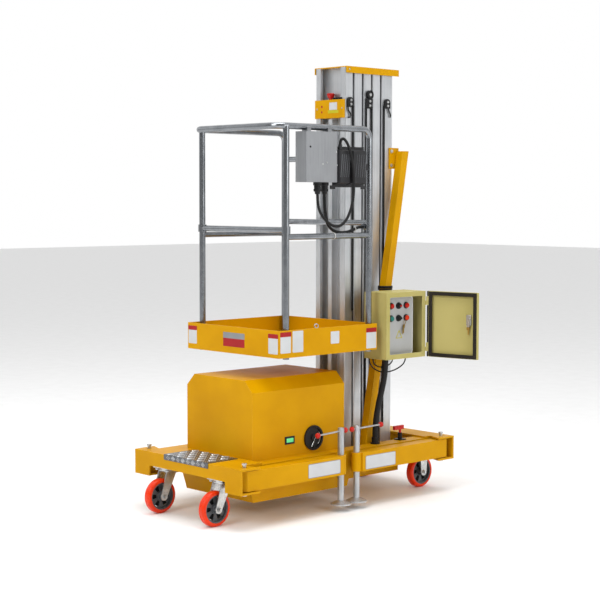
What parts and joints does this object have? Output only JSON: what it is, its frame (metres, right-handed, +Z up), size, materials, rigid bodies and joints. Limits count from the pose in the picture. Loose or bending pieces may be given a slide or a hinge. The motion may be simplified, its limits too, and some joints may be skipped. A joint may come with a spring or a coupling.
{
  "type": "vertical mast lift",
  "caption": "Wheeled aerial work platform: an upright nested aluminium mast lifts a railed one-person platform over a steel chassis with swing-out outriggers and an open control cabinet.",
  "frame": {"origin": "on the floor under the middle of the chassis, midway between the outrigger pivots", "axes": "+Z up, +X to the side with the ground control cabinet, -Y to the front with the step"},
  "size_m": [0.9686, 1.426, 1.98],
  "materials": {
    "yellow_coat": "semi-gloss yellow powder coat",
    "olive_coat": "fine textured olive powder coat",
    "grey_coat": "grey hammered coat",
    "panel_white": "satin light grey coat",
    "anodised": "natural anodised extrusion with fine draw lines",
    "tread_aluminium": "bright rolled tread plate",
    "galvanised": "galvanised tube",
    "zinc_plate": "zinc plated steel",
    "polyurethane": "smooth moulded polyurethane",
    "hub_black": "moulded wheel core",
    "black_moulding": "fine grained black moulding",
    "red_knob": "glossy red moulding"
  },
  "bodies": {
    "chassis": {"chassis_frame": "yellow_coat", "step_plate": "tread_aluminium", "battery_pan": "yellow_coat", "power_cover": "yellow_coat", "power_pack": "black_moulding", "round_port": "black_moulding", "charge_gauge": "black_moulding", "pivot_pins": "zinc_plate", "isolator_body": "black_moulding", "isolator_key": "red_knob", "swivel_plates": "zinc_plate", "rear_forks": "zinc_plate", "mast_section_1": "anodised", "mast_braces": "yellow_coat", "cabinet": "olive_coat", "switch_panel": "panel_white", "switch_buttons": "red_knob", "mast_conduit": "black_moulding", "conduit_boot": "black_moulding", "cabinet_loop_1": "black_moulding", "cabinet_loop_2": "black_moulding"},
    "section_2": {"mast_section_2": "anodised"},
    "section_3": {"mast_section_3": "anodised"},
    "section_4": {"mast_section_4": "anodised"},
    "platform": {"mast_section_5": "anodised", "carrier_plate": "yellow_coat", "platform_tray": "yellow_coat", "guard_rails": "galvanised", "control_box": "grey_coat", "charger_case": "black_moulding", "loop_cable": "black_moulding", "feed_cable": "black_moulding", "mast_cap": "yellow_coat", "stop_box": "yellow_coat", "stop_button": "red_knob"},
    "entry_bar": {"entry_bar": "galvanised"},
    "cabinet_door": {"cabinet_door": "olive_coat"},
    "swivel_near": {"swivel_fork_near": "zinc_plate"},
    "wheel_front_near": {"wheel_core_front_near": "hub_black", "tyre_front_near": "polyurethane"},
    "wheel_rear_near": {"wheel_core_rear_near": "hub_black", "tyre_rear_near": "polyurethane"},
    "arm_front_near": {"outrigger_arm_front_near": "yellow_coat"},
    "jack_front_near": {"jack_post_front_near": "zinc_plate", "jack_bar_front_near": "red_knob"},
    "arm_rear_near": {"outrigger_arm_rear_near": "yellow_coat"},
    "jack_rear_near": {"jack_post_rear_near": "zinc_plate", "jack_bar_rear_near": "red_knob"},
    "swivel_far": {"swivel_fork_far": "zinc_plate"},
    "wheel_front_far": {"wheel_core_front_far": "hub_black", "tyre_front_far": "polyurethane"},
    "wheel_rear_far": {"wheel_core_rear_far": "hub_black", "tyre_rear_far": "polyurethane"},
    "arm_front_far": {"outrigger_arm_front_far": "yellow_coat"},
    "jack_front_far": {"jack_post_front_far": "zinc_plate", "jack_bar_front_far": "red_knob"},
    "arm_rear_far": {"outrigger_arm_rear_far": "yellow_coat"},
    "jack_rear_far": {"jack_post_rear_far": "zinc_plate", "jack_bar_rear_far": "red_knob"}
  },
  "joints": [
    {"name": "section_2_slide", "type": "slide", "parent": "chassis", "child": "section_2", "axis": [0, 0, 1], "range_m": [0, 1.45]},
    {"name": "section_3_slide", "type": "slide", "parent": "section_2", "child": "section_3", "axis": [0, 0, 1], "range_m": [0, 1.45]},
    {"name": "section_4_slide", "type": "slide", "parent": "section_3", "child": "section_4", "axis": [0, 0, 1], "range_m": [0, 1.45]},
    {"name": "platform_slide", "type": "slide", "parent": "section_4", "child": "platform", "axis": [0, 0, 1], "range_m": [0, 1.45]},
    {"name": "entry_bar_slide", "type": "slide", "parent": "platform", "child": "entry_bar", "axis": [0, 0, 1], "range_m": [0, 0.37]},
    {"name": "door_hinge", "type": "hinge", "parent": "chassis", "child": "cabinet_door", "pos_m": [0.338, 0.496, 0.8], "axis": [0, 0, 1], "range_deg": [-101, 49]},
    {"name": "swivel_near_turn", "type": "hinge", "parent": "chassis", "child": "swivel_near", "pos_m": [0.186, -0.615, 0.19], "axis": [0, 0, 1], "continuous": true},
    {"name": "wheel_front_near_spin", "type": "hinge", "parent": "swivel_near", "child": "wheel_front_near", "pos_m": [0.186, -0.659, 0.076], "axis": [1, 0, 0], "continuous": true},
    {"name": "wheel_rear_near_spin", "type": "hinge", "parent": "chassis", "child": "wheel_rear_near", "pos_m": [0.186, 0.615, 0.076], "axis": [1, 0, 0], "continuous": true},
    {"name": "arm_front_near_swing", "type": "hinge", "parent": "chassis", "child": "arm_front_near", "pos_m": [0.324, -0.612, 0.208], "axis": [0, 0, -1], "range_deg": [0, 90]},
    {"name": "jack_front_near_lift", "type": "slide", "parent": "arm_front_near", "child": "jack_front_near", "axis": [0, 0, 1], "range_m": [-0.08, 0.1]},
    {"name": "arm_rear_near_swing", "type": "hinge", "parent": "chassis", "child": "arm_rear_near", "pos_m": [0.324, 0.612, 0.208], "axis": [0, 0, 1], "range_deg": [0, 90]},
    {"name": "jack_rear_near_lift", "type": "slide", "parent": "arm_rear_near", "child": "jack_rear_near", "axis": [0, 0, 1], "range_m": [-0.08, 0.1]},
    {"name": "swivel_far_turn", "type": "hinge", "parent": "chassis", "child": "swivel_far", "pos_m": [-0.186, -0.615, 0.19], "axis": [0, 0, 1], "continuous": true},
    {"name": "wheel_front_far_spin", "type": "hinge", "parent": "swivel_far", "child": "wheel_front_far", "pos_m": [-0.186, -0.659, 0.076], "axis": [1, 0, 0], "continuous": true},
    {"name": "wheel_rear_far_spin", "type": "hinge", "parent": "chassis", "child": "wheel_rear_far", "pos_m": [-0.186, 0.615, 0.076], "axis": [1, 0, 0], "continuous": true},
    {"name": "arm_front_far_swing", "type": "hinge", "parent": "chassis", "child": "arm_front_far", "pos_m": [-0.324, -0.612, 0.208], "axis": [0, 0, 1], "range_deg": [0, 90]},
    {"name": "jack_front_far_lift", "type": "slide", "parent": "arm_front_far", "child": "jack_front_far", "axis": [0, 0, 1], "range_m": [-0.08, 0.1]},
    {"name": "arm_rear_far_swing", "type": "hinge", "parent": "chassis", "child": "arm_rear_far", "pos_m": [-0.324, 0.612, 0.208], "axis": [0, 0, -1], "range_deg": [0, 90]},
    {"name": "jack_rear_far_lift", "type": "slide", "parent": "arm_rear_far", "child": "jack_rear_far", "axis": [0, 0, 1], "range_m": [-0.08, 0.1]}
  ],
  "couplings": [
    {"joint": "section_3_slide", "follows": "section_2_slide", "ratio": 1},
    {"joint": "section_4_slide", "follows": "section_2_slide", "ratio": 1},
    {"joint": "platform_slide", "follows": "section_2_slide", "ratio": 1}
  ]
}
